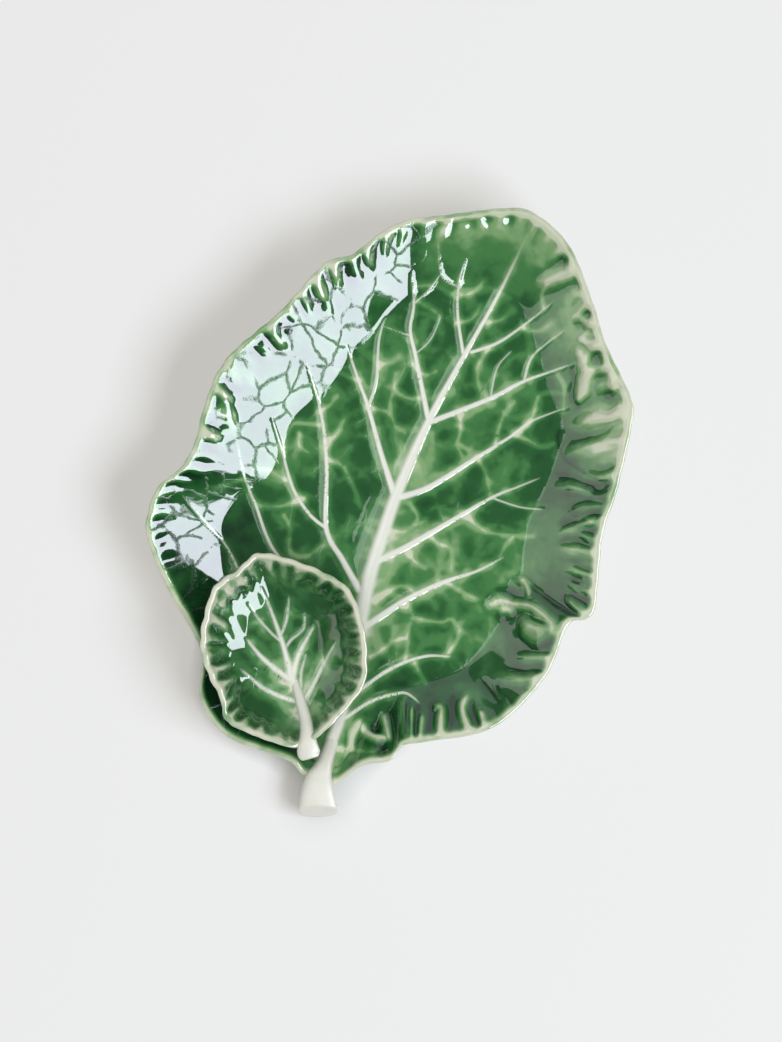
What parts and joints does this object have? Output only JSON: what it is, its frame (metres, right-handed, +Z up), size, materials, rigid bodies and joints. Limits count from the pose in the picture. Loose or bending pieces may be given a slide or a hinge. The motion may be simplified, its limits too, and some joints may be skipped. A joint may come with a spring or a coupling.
{
  "type": "leaf serving dish with dip bowl",
  "caption": "Glazed earthenware leaf-shaped serving dish with a pleated wavy rim, raised ribs and a cut stalk, and a small leaf-shaped dip bowl that stands in it and lifts out.",
  "frame": {"origin": "middle of the part's plan, on the table that it stands on", "axes": "+Z up, +Y from the stalk to the tip of the leaf, +X to the right seen from above"},
  "size_m": [0.2423, 0.3453, 0.0473],
  "materials": {
    "green_glaze": "glossy leaf-green lead-type glaze, darker where it pools and paler on the ridges",
    "dark_green_glaze": "glossy darker green glaze, mottled",
    "cream_glaze": "glossy clear glaze over cream clay",
    "bare_clay": "wiped, unglazed fired clay"
  },
  "bodies": {
    "dish": {"leaf_dish": "green_glaze", "dish_ribs": "cream_glaze", "dish_foot": "bare_clay"},
    "bowl": {"dip_bowl": "dark_green_glaze", "bowl_ribs": "cream_glaze", "bowl_foot": "bare_clay"}
  },
  "joints": [
    {"name": "bowl_lift", "type": "slide", "parent": "dish", "child": "bowl", "axis": [0, 0, 1], "range_m": [0, 0.12]}
  ]
}
